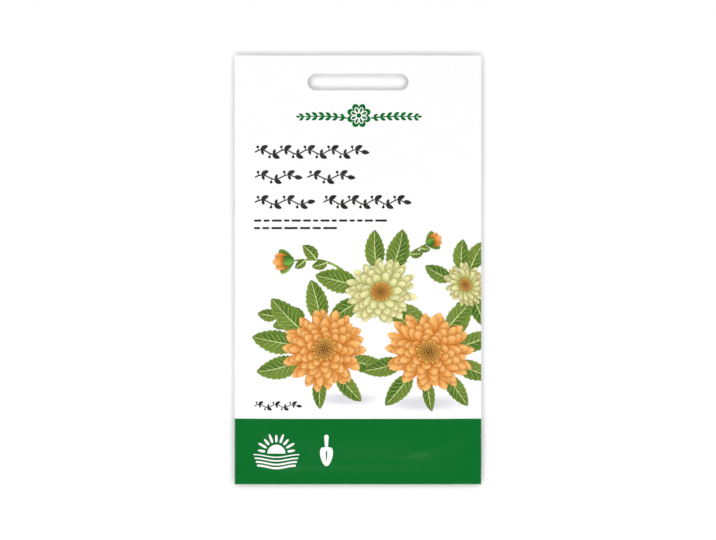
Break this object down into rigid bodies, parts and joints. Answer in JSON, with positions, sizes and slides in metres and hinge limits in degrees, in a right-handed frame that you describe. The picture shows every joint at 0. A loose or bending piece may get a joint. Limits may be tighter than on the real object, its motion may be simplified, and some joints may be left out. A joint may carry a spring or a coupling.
{
  "type": "seed packet",
  "caption": "Flat printed paper seed packet with a long hang slot in its header and a sealed sachet of seeds inside.",
  "frame": {"origin": "middle of the packet in X and Y, at the height of the surface that its back rests on", "axes": "+X across the front from left to right, +Y towards the end with the hang slot, +Z out of the printed front"},
  "size_m": [0.092, 0.16, 0.0036],
  "materials": {
    "paper": "satin",
    "green_ink": "satin",
    "picture_ink": "satin",
    "dark_ink": "satin",
    "adhesive": "satin",
    "foil": "satin",
    "seed_coat": "satin"
  },
  "bodies": {
    "root": {"paper_blank": "paper", "glue_header": "adhesive", "glue_side_seam": "adhesive", "glue_bottom_flap": "adhesive", "sachet_front_film": "foil", "sachet_back_film": "foil", "seed_01": "seed_coat", "seed_02": "seed_coat", "seed_03": "seed_coat", "seed_04": "seed_coat", "seed_05": "seed_coat", "seed_06": "seed_coat", "seed_07": "seed_coat", "seed_08": "seed_coat", "seed_09": "seed_coat", "seed_10": "seed_coat", "seed_11": "seed_coat", "seed_12": "seed_coat"}
  },
  "joints": []
}
